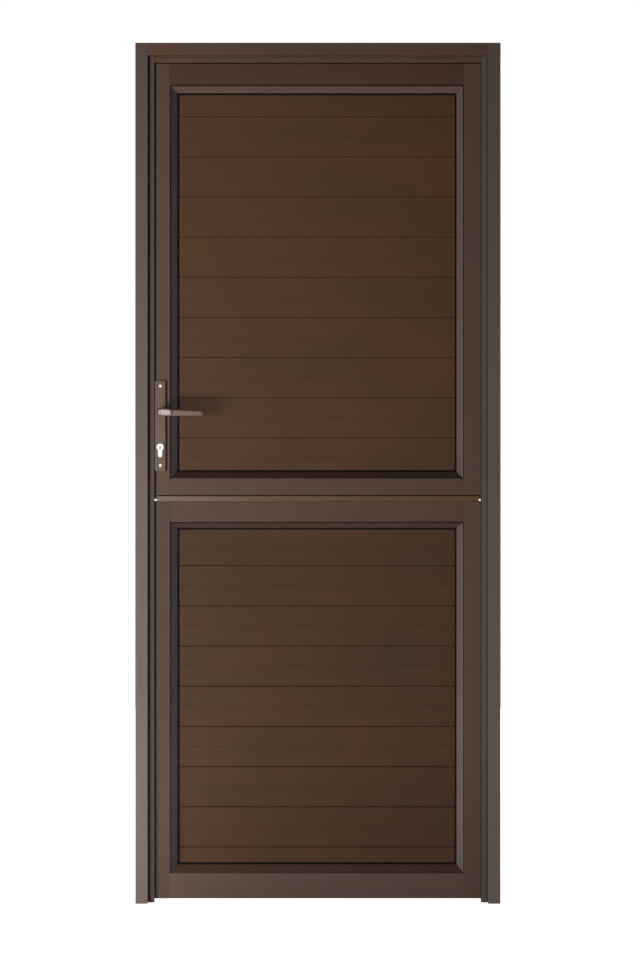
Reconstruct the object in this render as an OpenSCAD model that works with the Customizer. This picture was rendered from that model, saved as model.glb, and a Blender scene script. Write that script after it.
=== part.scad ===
// Dutch stable door in its three-sided aluminium frame.
// Millimetres. X runs across the door, Y from the outside (-Y) to the inside (+Y), Z up.
// The origin lies at the feet of the jambs, midway across the frame, on the leaves' mid-plane.
// Both leaves close against the frame's stop and swing towards +Y.

/* [Frame] */
// Overall width of the frame
frame_w = 890; // [700:1:1200]
// Overall height of the frame
frame_h = 2098; // [1740:1:2520]
// Width of the jambs and head seen from the front, without the stop
jamb_face = 30; // [26:1:50]
// Wall thickness of the frame section
frame_wall = 2; // [1.4:0.1:3]
// How far the stop stands out from the jamb's inner face
stop_w = 15; // [12:0.5:25]
// How far the stop's face lies behind the frame's front
stop_set_back = 12; // [6:0.5:14]
// Thickness of the stop
stop_t = 6; // [5:0.5:7]
// Gap between the stop and the leaves, which the seal fills
seal_gap = 3; // [2:0.5:4]
// How far the seal shows past the stop, on the hinge side and under the head
seal_show = 1.5; // [0:0.5:3]
// Width of the shadow line between the frame's face and the stop
line_w = 2.5; // [1:0.5:3]
// Depth of that line
line_d = 2.5; // [1:0.5:3]

/* [Leaves] */
// Thickness of both leaves
leaf_t = 44; // [38:1:56]
// Gap between the leaves and the lock jamb
lock_gap = 2.5; // [2:0.5:6]
// Gap between the leaves and the hinge jamb
hinge_gap = 7.5; // [5:0.5:10]
// Gap between the upper leaf and the head
head_gap = 5; // [3:0.5:10]
// Gap between the lower leaf and the floor
floor_gap = 8; // [4:0.5:20]
// Height of the lower leaf's top edge above the floor
meeting_z = 981; // [800:1:1010]
// Gap between the two leaves
meeting_gap = 5; // [4:0.5:8]
// Width of the stiles seen from the front
stile_w = 50; // [48:1:70]
// Height of the top and bottom rails
outer_rail_h = 62; // [50:1:120]
// Height of the two rails that meet
meeting_rail_h = 50; // [44:1:80]
// Wall thickness of the stiles and rails
leaf_wall = 2; // [1.4:0.1:2.5]
// Width of the fixed rebate lip behind the panels
lip_w = 12; // [8:0.5:16]
// Thickness of the fixed rebate lip
lip_t = 5; // [3:0.5:6]

/* [Hardware groove] */
// Width of the groove that takes the lock's faceplate and the strike
groove_w = 22.6; // [22:0.1:24]
// Depth of the groove in the frame
frame_groove_d = 2.5; // [2:0.1:4]
// Depth of the groove in the leaves
leaf_groove_d = 3; // [2.5:0.1:4]

/* [Slats] */
// Height that each slat covers
slat_pitch = 99; // [80:1:140]
// Thickness of the slats
slat_t = 12; // [10:0.5:13]
// How far the slats' face lies behind the leaf's face
panel_depth = 24; // [22:0.5:24]
// Wall thickness of the slats
slat_wall = 1.3; // [1:0.1:1.8]
// Width and depth of the bevel along each edge of a slat
joint_bevel = 1.5; // [1:0.1:2.5]
// Half width of the scored line along the middle of a slat
score_half_w = 0.9; // [0.5:0.1:1.5]
// Depth of the scored line
score_d = 0.6; // [0.3:0.1:1]
// Length of the tongue
tongue_l = 7.5; // [5:0.5:8]
// Thickness of the tongue
tongue_t = 4; // [3:0.5:5]
// Room between the panel's cut edges and the leaf
panel_clear = 1.5; // [1:0.5:3]
// Room above the lower panel's top slat, which its tongue reaches into
tongue_room = 10.4; // [9:0.1:14]

/* [Beads] */
// Width of the glazing beads seen from the front
bead_w = 16.5; // [14:0.5:20]
// Width of the groove between the beads and the leaf's section
bead_groove_w = 2.2; // [1:0.1:3]
// Depth of that groove behind the beads' front edge
bead_groove_d = 4.5; // [2:0.5:6]
// How far the beads' front edge lies behind the leaf's face
bead_set_back = 2; // [1:0.5:4]
// Width of the beads' flat front edge
bead_edge_w = 1.6; // [1:0.1:3]
// Height of the beads' inner edge
bead_foot_h = 2.2; // [1.5:0.1:4]
// Thickness of the gasket between bead and slats
gasket_t = 2; // [1.5:0.1:3]
// How far that gasket shows inside the bead
gasket_show = 4.5; // [2:0.5:6]

/* [Meeting strip] */
// Height of the strip's upstand
strip_h = 13; // [10:0.5:20]
// How far the upstand hangs below the lower leaf's top edge
strip_drop = 1; // [0:0.5:4]
// Thickness of the strip
strip_t = 1.8; // [1.2:0.1:2.4]
// Depth of the strip's foot on the lower leaf
strip_foot = 30; // [20:1:40]
// Room between the strip's ends and the frame's stops
strip_end_gap = 6.5; // [2:0.5:10]

/* [Lock] */
// Distance from the leaf's edge to the lever's axis
backset = 27; // [25:0.5:30]
// Height of the lever's axis
lever_z = 1198; // [1170:1:1350]
// Distance between the lever's axis and the key cylinder
lock_centres = 85; // [80:1:92]
// Height of the lock case
case_h = 164; // [156:1:180]
// Depth of the lock case
case_d = 41; // [41:0.5:42]
// Thickness of the lock case
case_t = 16; // [14:0.5:18]
// Wall thickness of the lock case
case_wall = 1.2; // [1:0.1:1.5]
// Length of the faceplate and the strike
faceplate_h = 240; // [225:1:280]
// Width of the faceplate and the strike
faceplate_w = 22; // [20:0.5:22]
// Thickness of the faceplate
faceplate_t = 3; // [2.5:0.1:3]
// Thickness of the strike
strike_t = 2.2; // [1.5:0.1:2.5]
// Travel of the latch bolt
latch_travel = 10; // [8:0.5:11]
// Travel of the dead bolt
dead_travel = 20; // [14:1:20]

/* [Handle] */
// Width of the long plate
plate_w = 26; // [24:0.5:32]
// Height of the long plate
plate_h = 220; // [205:1:260]
// Thickness of the long plate
plate_t = 9; // [6:0.5:12]
// Distance from the lever's axis down to the plate's centre
plate_drop = 33; // [30:1:40]
// Distance between the two plate screws
plate_screw_centres = 194; // [180:1:200]
// Reach of the lever from its axis to its tip
lever_reach = 112; // [90:1:130]
// How far the lever stands out from the plate
lever_stand_off = 55; // [45:1:70]
// Radius of the lever's neck
neck_r = 9; // [8:0.5:10]
// Thickness of the grip, front to back
grip_t = 12; // [9:0.5:16]
// Height of the grip at the neck
grip_h = 16; // [12:0.5:18]
// Height of the grip at the tip
grip_tip_h = 13; // [10:0.5:16]
// Side of the square spindle
spindle_side = 8; // [7:0.5:8]

/* [Key cylinder] */
// Radius of the plugs
plug_r = 6.5; // [6:0.1:6.8]
// How far the cylinder stands out from the plates
cylinder_proud = 2.5; // [0.5:0.5:4]
// Width of the cam
cam_w = 9; // [8:0.5:9.5]
// Reach of the cam
cam_reach = 14.5; // [13:0.5:15]

/* [Hinges] */
// Length of each hinge
hinge_l = 100; // [80:1:120]
// Radius of the knuckles
knuckle_r = 6.5; // [6:0.1:8]
// Radius of the pin
pin_r = 3; // [2.5:0.1:3.5]
// Width of each hinge plate
hinge_plate_w = 25; // [22:0.5:26]
// Thickness of each hinge plate
hinge_plate_t = 3; // [2:0.1:3.5]
// Distance from each leaf's end to the middle of its hinge
hinge_inset = 150; // [100:1:220]

/* [Bolts] */
// Radius of the bolt rods
rod_r = 5; // [4:0.5:6]
// Length of the bolt rods
rod_l = 84; // [80:1:100]
// Travel of the bolt rods
rod_travel = 22; // [16:1:22]
// Width of each bolt's base plate
barrel_w = 36; // [32:1:40]
// Height of the lower leaf's own bolt above the floor
side_bolt_z = 820; // [600:1:830]

/* [Fixings] */
// Radius of the holes through the frame
fixing_r = 4.25; // [3:0.25:5]
// Distance from each end of a jamb to its nearest hole
fixing_inset = 200; // [100:10:250]
// Distance between the two holes of each pair
fixing_spacing = 550; // [400:10:600]

/* [Fits] */
// Running clearance of pins and plugs, on the radius
fit = 0.05; // [0.02:0.01:0.1]
// Clearance of screws in their holes, on the radius
screw_clear = 0.1; // [0.05:0.05:0.3]
// Clearance of parts that are set in a cut-out
set_clear = 0.3; // [0.2:0.05:0.5]

/* [Hidden] */
$fn = 48;

BRONZE = "#5c4436";
BRONZE_STRIP = "#8a6b4a";
BRONZE_LIGHT = "#7d6656";
STEEL = "#b9b7b2";
BLACK = "#1d1b1a";
ALUMINIUM = "#a7a9ab";

// Middles of the lower and the upper pair of holes in each jamb
jamb_fixing_z = [fixing_inset + fixing_spacing / 2, frame_h - fixing_inset - fixing_spacing / 2];

// Cuts run this far past the faces that they open
past = 1;

// Frame planes
jamb_x = frame_w / 2 - jamb_face;
stop_x = jamb_x - stop_w;
head_z = frame_h - jamb_face;
leaf_front = -leaf_t / 2;
leaf_back = leaf_t / 2;
stop_back = leaf_front - seal_gap;
frame_front = stop_back - stop_t - stop_set_back;
frame_back = leaf_back;
frame_d = frame_back - frame_front;
frame_groove_floor = frame_groove_d + frame_wall;
seal_root_w = 4;
seal_root_d = 2.2;
seal_root_x = jamb_face + (stop_w - seal_root_w) / 2;
seal_lip_x = seal_root_x - 2;
seal_lip_hidden = seal_root_x + seal_root_w + 2;
seal_lip_shown = jamb_face + stop_w + seal_show;

// Leaf planes: the leaves reach from lock_x to hinge_x
lock_x = -jamb_x + lock_gap;
hinge_x = jamb_x - hinge_gap;
leaf_mid_x = (lock_x + hinge_x) / 2;
opening_w = hinge_x - lock_x - 2 * stile_w;
lower_z = [floor_gap, meeting_z];
upper_z = [meeting_z + meeting_gap, head_z - head_gap];
lower_opening = [lower_z[0] + outer_rail_h, lower_z[1] - meeting_rail_h];
upper_opening = [upper_z[0] + meeting_rail_h, upper_z[1] - outer_rail_h];
leaf_groove_floor = leaf_groove_d + leaf_wall;

// Slats
panel_front = leaf_front + panel_depth;
panel_back = panel_front + slat_t;
panel_half_w = opening_w / 2 - panel_clear;
upper_first_z = upper_opening[0] + panel_clear;
upper_cut_z = upper_opening[1] - panel_clear;
upper_slat_count = ceil((upper_cut_z - upper_first_z) / slat_pitch);
lower_last_z = lower_opening[1] - tongue_room;
lower_cut_z = lower_opening[0] + panel_clear;
lower_slat_count = ceil((lower_last_z - lower_cut_z) / slat_pitch);

// Meeting strip
strip_back = stop_back + strip_t - 1;
strip_front = strip_back - strip_t;
strip_l = 2 * (stop_x - strip_end_gap);
rivet_r = 2;
rivet_x = [for (k = [-1:1]) leaf_mid_x + k * (opening_w / 2 - 30)];
rivet_y = leaf_front + 5;

// Lock and handle: the cylinder's profile is the standard 17 x 33 mm one
euro_r = 8.5;
euro_stem_w = 10;
euro_h = 33;
lever_x = lock_x + backset;
cylinder_z = lever_z - lock_centres;
plate_z = lever_z - plate_drop;
case_z = cylinder_z - euro_h + euro_r - 6;
plate_face = leaf_t / 2 + plate_t;
cylinder_half = plate_face + cylinder_proud;
latch_z = lever_z + 26;
dead_z = cylinder_z + 34;
latch_size = [46, 12, 20];
dead_size = [34, 12, 28];
latch_nose = 11;
case_x = lock_x + faceplate_t;
follower_r = 11;
plate_screw_r = 2.5;
plate_screw_head_r = 3.6;
spindle_end = plate_face + lever_stand_off - grip_t - 6;
neck_bearing_r = neck_r + 0.4;

// Hinges
axis_x = (hinge_x + jamb_x) / 2;
axis_y = leaf_back + knuckle_r + set_clear;
washer_t = 1;
washer_play = 0.05;
mid_knuckle_l = 0.36 * hinge_l;
upper_hinges_z = [upper_z[0] + hinge_inset, upper_z[1] - hinge_inset];
lower_hinges_z = [lower_z[0] + hinge_inset, lower_z[1] - hinge_inset];
all_hinges_z = concat(lower_hinges_z, upper_hinges_z);
screw_r = 2.2;
screw_head_r = 4.2;
screw_head_h = 2;
screw_l = 12;
hinge_screw_z = [for (k = [-1:1]) 0.36 * k * hinge_l];

// Bolts
barrel_l = 56;
barrel_t = 2.5;
guide_l = 10;
guide_r = rod_r + 3;
rod_y = leaf_back + barrel_t + guide_r;
rod_tip = 2.5;
knob_r = 2.5;
keep_l = 18;
keep_gap = 3;
meeting_bolt_x = lock_x + stile_w / 2;

// Strike and faceplate screws
face_screw_z = [for (k = [-1, 1]) plate_z + k * (faceplate_h / 2 - 9)];

// ---------------------------------------------------------------- sections

// Jamb and head section: x runs from the outer edge inwards, y is depth.
module frame_section() {
  difference() {
    union() {
      translate([0, frame_front]) square([jamb_face, frame_d]);
      translate([jamb_face - frame_wall, stop_back - stop_t])
        square([frame_wall + stop_w, stop_t]);
    }
    difference() {
      translate([frame_wall, frame_front + frame_wall])
        square([jamb_face - 2 * frame_wall, frame_d - 2 * frame_wall]);
      translate([jamb_face - frame_groove_floor, -groove_w / 2 - frame_wall])
        square([frame_groove_floor, groove_w + 2 * frame_wall]);
    }
    translate([jamb_face - frame_groove_d, -groove_w / 2])
      square([frame_groove_d + past, groove_w]);
    translate([seal_root_x - set_clear, stop_back - seal_root_d])
      square([seal_root_w + 2 * set_clear, seal_root_d + past]);
    translate([jamb_face, stop_back - stop_t - past]) square([line_w, line_d + past]);
  }
}

// The seal sits in a groove in the back of the stop.
module seal_root() {
  translate([seal_root_x, stop_back - seal_root_d + set_clear])
    square([seal_root_w, seal_root_d]);
}

// Its lip fills the gap to the leaves, as far inwards as end.
module seal_lip(end) {
  translate([seal_lip_x, stop_back]) square([end - seal_lip_x, seal_gap - set_clear]);
}

// Stile and rail section: x runs from the leaf's outer edge inwards, y is depth.
module leaf_section(width) {
  difference() {
    translate([0, leaf_front]) square([width, leaf_t]);
    difference() {
      translate([leaf_wall, leaf_front + leaf_wall])
        square([width - 2 * leaf_wall, leaf_t - 2 * leaf_wall]);
      translate([0, -groove_w / 2 - leaf_wall])
        square([leaf_groove_floor, groove_w + 2 * leaf_wall]);
    }
    translate([-past, -groove_w / 2]) square([leaf_groove_d + past, groove_w]);
  }
}

// The fixed rebate lip that goes with it, which backs the panel.
module lip_section(width) {
  translate([width - leaf_wall, leaf_back - lip_t]) square([leaf_wall + lip_w, lip_t]);
}

// One slat with its bottom edge at the origin: x is depth, y runs up.
module slat_section() {
  tongue_y = slat_t / 2 - tongue_t / 2;
  groove_half = tongue_t / 2 + set_clear;
  web = 2;
  foot = set_clear;
  difference() {
    polygon([
      [joint_bevel, foot],
      [0, foot + joint_bevel],
      [0, slat_pitch / 2 - score_half_w],
      [score_d, slat_pitch / 2],
      [0, slat_pitch / 2 + score_half_w],
      [0, slat_pitch - joint_bevel],
      [joint_bevel, slat_pitch],
      [tongue_y, slat_pitch],
      [tongue_y, slat_pitch + tongue_l],
      [tongue_y + tongue_t, slat_pitch + tongue_l],
      [tongue_y + tongue_t, slat_pitch],
      [slat_t, slat_pitch],
      [slat_t, foot]
    ]);
    translate([slat_t / 2 - groove_half, 0])
      square([2 * groove_half, tongue_l + 2 * set_clear]);
    translate([slat_wall, tongue_l + 2 * set_clear + slat_wall])
      square([slat_t - 2 * slat_wall,
              slat_pitch / 2 - web - tongue_l - 2 * set_clear - slat_wall]);
    translate([slat_wall, slat_pitch / 2 + web])
      square([slat_t - 2 * slat_wall, slat_pitch / 2 - web - slat_wall]);
  }
}

// Bead section: x is depth, y runs from the leaf's section inwards.
module bead_section() {
  front = leaf_front + bead_set_back;
  back = panel_front - gasket_t;
  skin = 1.5;
  difference() {
    polygon([
      [front + bead_groove_d, 0],
      [front + bead_groove_d, bead_groove_w],
      [front, bead_groove_w],
      [front, bead_groove_w + bead_edge_w],
      [back - bead_foot_h, bead_w],
      [back, bead_w],
      [back, 0]
    ]);
    polygon([
      [front + bead_groove_d + skin, skin],
      [front + bead_groove_d + skin, bead_groove_w + skin],
      [back - skin, bead_w - 2 * skin - 1],
      [back - skin, skin]
    ]);
  }
}

// Gaskets in front of and behind the slats, in the bead section's axes.
module front_gasket_section() {
  back = panel_front - 0.05;
  polygon([
    [back - gasket_t + 0.05, bead_w / 2],
    [back - gasket_t + 0.05, bead_w],
    [back - gasket_t - 0.4, bead_w + 0.4],
    [back - gasket_t - 0.4, bead_w + gasket_show - 1],
    [back, bead_w + gasket_show],
    [back, bead_w / 2]
  ]);
}

module back_gasket_section() {
  front = panel_back + 0.05;
  translate([front, panel_clear + 1])
    square([leaf_back - lip_t - front, lip_w - panel_clear - 2]);
}

// ---------------------------------------------------------------- helpers

// Extrudes a section (x depth, y height) along the row's X axis, centred.
module along_x(length) {
  rotate([90, 0, 90]) linear_extrude(height = length, center = true) children();
}

// Extrudes a section (x inwards, y depth) upwards from the lock side.
module lock_upright(x, z) {
  translate([x, 0, z[0]]) linear_extrude(height = z[1] - z[0]) children();
}

module hinge_upright(x, z) {
  translate([x, 0, z[0]]) mirror([1, 0, 0])
    linear_extrude(height = z[1] - z[0]) children();
}

// Lays a rail's section (x inwards, y depth) from x0 to x1, growing up from z.
module rail_up(x0, x1, z) {
  translate([(x0 + x1) / 2, 0, z])
    along_x(x1 - x0) mirror([1, -1]) children();
}

// The same rail growing down from z.
module rail_down(x0, x1, z) {
  translate([(x0 + x1) / 2, 0, z]) mirror([0, 0, 1])
    along_x(x1 - x0) mirror([1, -1]) children();
}

// One mitred side of the leaf's opening: 0 bottom, 1 lock side, 2 top, 3 hinge side.
module mitred_side(opening, side) {
  height = opening[1] - opening[0];
  length = side % 2 == 0 ? opening_w : height;
  away = side % 2 == 0 ? height / 2 : opening_w / 2;
  reach = bead_w + gasket_show + past;
  translate([leaf_mid_x, 0, (opening[0] + opening[1]) / 2])
    rotate([0, 90 * side, 0]) translate([0, 0, -away]) intersection() {
      along_x(length) children();
      rotate([90, 0, 0]) linear_extrude(height = 2 * leaf_t, center = true) polygon([
        [-length / 2, 0],
        [length / 2, 0],
        [length / 2 - reach, reach],
        [-length / 2 + reach, reach]
      ]);
    }
}

// A cylinder along Y from y0 to y1.
module rod_y(r, y0, y1, fn = $fn) {
  translate([0, y0, 0]) rotate([-90, 0, 0]) cylinder(r = r, h = y1 - y0, $fn = fn);
}

// A cylinder along X from x0 to x1.
module rod_x(r, x0, x1) {
  translate([x0, 0, 0]) rotate([0, 90, 0]) cylinder(r = r, h = x1 - x0);
}

// Countersunk screw, its head's face at the origin, driven along -Z.
module countersunk(length = screw_l) {
  difference() {
    union() {
      translate([0, 0, -screw_head_h])
        cylinder(r1 = screw_r, r2 = screw_head_r, h = screw_head_h);
      translate([0, 0, -length]) cylinder(r = screw_r, h = length - screw_head_h + 0.5);
    }
    translate([0, 0, -1.4]) cylinder(r = 1.5, h = 2, $fn = 6);
  }
}

// The hole that such a screw needs.
module countersunk_hole(depth) {
  translate([0, 0, -depth - past])
    cylinder(r = screw_r + screw_clear, h = depth + 2 * past);
  translate([0, 0, -screw_head_h])
    cylinder(r1 = screw_r + screw_clear, r2 = screw_head_r + screw_clear,
             h = screw_head_h);
  cylinder(r = screw_head_r + screw_clear, h = past);
}

// ---------------------------------------------------------------- places

// Each puts its children at the places of a fixing or a bolt, pointing out of the face.
module at_hinge_screws(heights, side) {
  for (z = heights, dz = hinge_screw_z)
    translate([axis_x + side * (knuckle_r + hinge_plate_w * 0.6), leaf_back + hinge_plate_t,
               z + dz])
      rotate([-90, 0, 0]) children();
}

module at_face_screws(face_x, turn) {
  for (z = face_screw_z) translate([face_x, 0, z]) rotate([0, turn, 0]) children();
}

module at_keep_screws() {
  for (dz = [-1, 1])
    translate([-jamb_x - jamb_face / 2, frame_back + barrel_t,
               side_bolt_z + dz * (guide_r + 6)])
      rotate([-90, 0, 0]) children();
}

module at_meeting_keep_screws() {
  for (dx = [-1, 1])
    translate([meeting_bolt_x + dx * (guide_r + 6), leaf_back + barrel_t,
               upper_z[0] + keep_gap + keep_l / 2])
      rotate([-90, 0, 0]) children();
}

module at_barrel_screws() {
  for (dx = [-1, 1], dz = [-1, 1])
    translate([dx * (barrel_w / 2 - 4.8), barrel_t, -barrel_l / 2 + dz * 14])
      rotate([-90, 0, 0]) children();
}

module at_rivets() {
  for (x = rivet_x) translate([x, rivet_y, lower_z[1]]) children();
}

module at_meeting_bolt() {
  translate([meeting_bolt_x, leaf_back, lower_z[1] - 4]) children();
}

module at_side_bolt() {
  translate([lock_x + 3, leaf_back, side_bolt_z]) rotate([0, -90, 0]) children();
}

// ---------------------------------------------------------------- frame

// Holes through a jamb for the fixings into the wall.
module fixing_holes() {
  for (middle = jamb_fixing_z, k = [-0.5, 0.5])
    translate([0, 0, middle + k * fixing_spacing])
      rod_x(fixing_r, -past, jamb_face + past);
}

module jamb_body() {
  difference() {
    linear_extrude(height = frame_h) frame_section();
    // The stop is cut back where the head's box passes
    translate([jamb_face, frame_front - past, head_z])
      cube([stop_w + past, frame_d + 2 * past, jamb_face + past]);
    fixing_holes();
  }
}

module lock_jamb() {
  color(BRONZE) difference() {
    translate([-frame_w / 2, 0, 0]) jamb_body();
    // Pockets for the latch and the dead bolt, then the screws
    for (z = [latch_z, dead_z])
      translate([-jamb_x - frame_groove_floor - past, -dead_size[1] / 2 - 1.5,
                 z - dead_size[2] / 2 - 1.5])
        cube([frame_groove_floor + past, dead_size[1] + 3, dead_size[2] + 3]);
    at_face_screws(-jamb_x - frame_groove_d, 90)
      cylinder(r = screw_r + screw_clear, h = 3 * frame_wall, center = true);
    at_keep_screws()
      cylinder(r = screw_r + screw_clear, h = 2 * (barrel_t + frame_wall) + past,
               center = true);
  }
}

module hinge_jamb() {
  color(BRONZE) difference() {
    translate([frame_w / 2, 0, 0]) mirror([1, 0, 0]) jamb_body();
    at_hinge_screws(all_hinges_z, 1)
      cylinder(r = screw_r + screw_clear, h = 2 * (hinge_plate_t + frame_wall) + past,
               center = true);
  }
}

module head() {
  color(BRONZE) difference() {
    rail_down(-jamb_x, jamb_x, frame_h) frame_section();
    // The stop ends against the jambs' stops
    for (side = [-1, 1])
      translate([side * (stop_x + jamb_x) / 2, 0, head_z - jamb_face / 2])
        cube([stop_w, 2 * frame_d, jamb_face], center = true);
    for (k = [-0.5, 0.5])
      translate([k * fixing_spacing, 0, head_z - past])
        cylinder(r = fixing_r, h = jamb_face + 2 * past);
  }
}

module head_cleats() {
  color(ALUMINIUM) for (side = [-1, 1])
    translate([side * (jamb_x - 20), (frame_front + frame_back) / 2,
               head_z + frame_groove_floor + set_clear])
      translate([-20, -frame_d / 2 + frame_wall + set_clear, 0])
        cube([40, frame_d - 2 * frame_wall - 2 * set_clear,
              jamb_face - frame_wall - frame_groove_floor - 2 * set_clear]);
}

module frame_seals() {
  color(BLACK) {
    lock_upright(-frame_w / 2, [0, head_z])
      union() { seal_root(); seal_lip(seal_lip_hidden); }
    hinge_upright(frame_w / 2, [0, head_z])
      union() { seal_root(); seal_lip(seal_lip_shown); }
    head_end = frame_w / 2 - seal_lip_shown - set_clear;
    rail_down(-stop_x, head_end, frame_h) seal_root();
    rail_down(seal_lip_hidden - frame_w / 2 + set_clear, head_end, frame_h)
      seal_lip(seal_lip_shown);
  }
}

module strike_plate() {
  color(STEEL) difference() {
    translate([-jamb_x - frame_groove_d, -faceplate_w / 2, plate_z - faceplate_h / 2])
      cube([strike_t, faceplate_w, faceplate_h]);
    for (pocket = [[latch_z, latch_size], [dead_z, dead_size]])
      translate([-jamb_x - frame_groove_d - past, -pocket[1][1] / 2 - 0.8,
                 pocket[0] - pocket[1][2] / 2 - 1])
        cube([strike_t + 2 * past, pocket[1][1] + 1.6, pocket[1][2] + 2]);
    at_face_screws(-jamb_x - frame_groove_d + strike_t, 90) countersunk_hole(strike_t);
  }
}

// The block that a bolt rod shoots into: its plate at y = 0, its bore along Z.
module keep() {
  difference() {
    union() {
      translate([-guide_r - 11, 0, 0]) cube([2 * guide_r + 22, barrel_t, keep_l]);
      translate([-guide_r, 0, 0]) cube([2 * guide_r, barrel_t + guide_r, keep_l]);
      translate([0, barrel_t + guide_r, 0]) cylinder(r = guide_r, h = keep_l);
    }
    translate([0, barrel_t + guide_r, -past])
      cylinder(r = rod_r + set_clear, h = keep_l + 2 * past);
  }
}

module lower_bolt_keep() {
  color(STEEL) difference() {
    translate([-jamb_x - (jamb_face - keep_l) / 2, frame_back, side_bolt_z])
      rotate([0, -90, 0]) keep();
    at_keep_screws() countersunk_hole(barrel_t);
  }
}

module meeting_bolt_keep() {
  color(STEEL) difference() {
    translate([meeting_bolt_x, leaf_back, upper_z[0] + keep_gap]) keep();
    at_meeting_keep_screws() countersunk_hole(barrel_t);
  }
}

// ---------------------------------------------------------------- hinges

// One hinge half: side 1 is the frame's, with the end knuckles; -1 is the leaf's.
module hinge_half(side) {
  gap = washer_t + 2 * washer_play;
  spans = side > 0
    ? [[-hinge_l / 2, -mid_knuckle_l / 2 - gap], [mid_knuckle_l / 2 + gap, hinge_l / 2]]
    : [[-mid_knuckle_l / 2, mid_knuckle_l / 2]];
  other = side > 0
    ? [[-mid_knuckle_l / 2 - gap, mid_knuckle_l / 2 + gap]]
    : [[-hinge_l / 2 - past, -mid_knuckle_l / 2], [mid_knuckle_l / 2, hinge_l / 2 + past]];
  difference() {
    union() {
      translate([side > 0 ? 0 : -knuckle_r - hinge_plate_w, leaf_back - axis_y, -hinge_l / 2])
        cube([knuckle_r + hinge_plate_w, hinge_plate_t, hinge_l]);
      for (s = spans) translate([0, 0, s[0]]) cylinder(r = knuckle_r, h = s[1] - s[0]);
    }
    // Room for the other half's knuckles
    for (s = other)
      translate([-knuckle_r - set_clear, -knuckle_r - past, s[0]])
        cube([2 * (knuckle_r + set_clear), 2 * (knuckle_r + past), s[1] - s[0]]);
    translate([0, 0, -hinge_l / 2 - past]) cylinder(r = pin_r + fit, h = hinge_l + 2 * past);
  }
}

module hinge_halves(heights, side) {
  difference() {
    for (z = heights) translate([axis_x, axis_y, z]) hinge_half(side);
    at_hinge_screws(heights, side) countersunk_hole(hinge_plate_t);
  }
}

module frame_hinge_plates() {
  color(BRONZE_LIGHT) hinge_halves(all_hinges_z, 1);
}

module lower_hinge_plates() {
  color(BRONZE_LIGHT) hinge_halves(lower_hinges_z, -1);
}

module upper_hinge_plates() {
  color(BRONZE_LIGHT) hinge_halves(upper_hinges_z, -1);
}

module hinge_pins() {
  color(STEEL) for (z = all_hinges_z) translate([axis_x, axis_y, z]) {
    translate([0, 0, -hinge_l / 2 - 2]) cylinder(r = pin_r, h = hinge_l + 3);
    translate([0, 0, hinge_l / 2 + set_clear]) cylinder(r = pin_r + 1.8, h = 2.2);
  }
}

module hinge_washers() {
  color(BLACK) for (z = all_hinges_z, k = [-1, 1])
    translate([axis_x, axis_y, z + k * (mid_knuckle_l / 2 + washer_play + washer_t / 2)])
      difference() {
        cylinder(r = knuckle_r - 0.3, h = washer_t, center = true);
        cylinder(r = pin_r + fit, h = 2 * washer_t, center = true);
      }
}

module frame_screws() {
  color(STEEL) {
    at_hinge_screws(all_hinges_z, 1) countersunk();
    at_face_screws(-jamb_x - frame_groove_d + strike_t, 90) countersunk();
    at_keep_screws() countersunk();
  }
}

// ---------------------------------------------------------------- leaves

// The stiles run past the rails, and their lips stop at the rails.
module lock_stile(z, opening) {
  lock_upright(lock_x, z) leaf_section(stile_w);
  lock_upright(lock_x, opening) lip_section(stile_w);
}

module hinge_stile(z, opening, hinges_z) {
  color(BRONZE) difference() {
    union() {
      hinge_upright(hinge_x, z) leaf_section(stile_w);
      hinge_upright(hinge_x, opening) lip_section(stile_w);
    }
    at_hinge_screws(hinges_z, -1)
      cylinder(r = screw_r + screw_clear, h = 2 * (hinge_plate_t + leaf_wall) + past,
               center = true);
  }
}

// The rails butt between the stiles, and their lips between the stiles' lips.
module low_rail(z, height) {
  color(BRONZE) {
    rail_up(lock_x + stile_w, hinge_x - stile_w, z) leaf_section(height);
    rail_up(lock_x + stile_w + lip_w, hinge_x - stile_w - lip_w, z) lip_section(height);
  }
}

module high_rail(z, height) {
  color(BRONZE) {
    rail_down(lock_x + stile_w, hinge_x - stile_w, z) leaf_section(height);
    rail_down(lock_x + stile_w + lip_w, hinge_x - stile_w - lip_w, z) lip_section(height);
  }
}

module rail_cleats(z, low_rail_h, top_rail_h) {
  depth = leaf_t - 2 * leaf_wall - 2 * set_clear;
  x = opening_w / 2 - 20;
  for (side = [-1, 1]) {
    translate([leaf_mid_x + side * x, 0,
               z[0] + (leaf_groove_floor + low_rail_h - leaf_wall) / 2])
      cube([40, depth, low_rail_h - leaf_wall - leaf_groove_floor - 2 * set_clear],
           center = true);
    translate([leaf_mid_x + side * x, 0,
               z[1] - (leaf_groove_floor + top_rail_h - leaf_wall) / 2])
      cube([40, depth, top_rail_h - leaf_wall - leaf_groove_floor - 2 * set_clear],
           center = true);
  }
}

// Slats from one height up; whatever passes the cut heights is sawn off.
module slats(first_z, count, cut) {
  color(BRONZE) for (i = [0 : count - 1])
    translate([leaf_mid_x, 0, 0]) along_x(2 * panel_half_w) intersection() {
      translate([panel_front, first_z + i * slat_pitch]) slat_section();
      translate([panel_front - past, cut[0]]) square([slat_t + 2 * past, cut[1] - cut[0]]);
    }
}

module bead(opening, side) {
  color(BRONZE) mitred_side(opening, side) bead_section();
}

module gaskets(opening) {
  color(BLACK) for (side = [0:3]) {
    mitred_side(opening, side) front_gasket_section();
    mitred_side(opening, side) back_gasket_section();
  }
}

module lower_lock_stile() {
  color(BRONZE) difference() {
    lock_stile(lower_z, lower_opening);
    at_meeting_bolt() at_barrel_screws()
      cylinder(r = screw_r + screw_clear, h = 2 * (barrel_t + leaf_wall) + past,
               center = true);
    at_side_bolt() at_barrel_screws()
      cylinder(r = screw_r + screw_clear, h = 2 * (barrel_t + lip_t) + past,
               center = true);
  }
}

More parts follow.
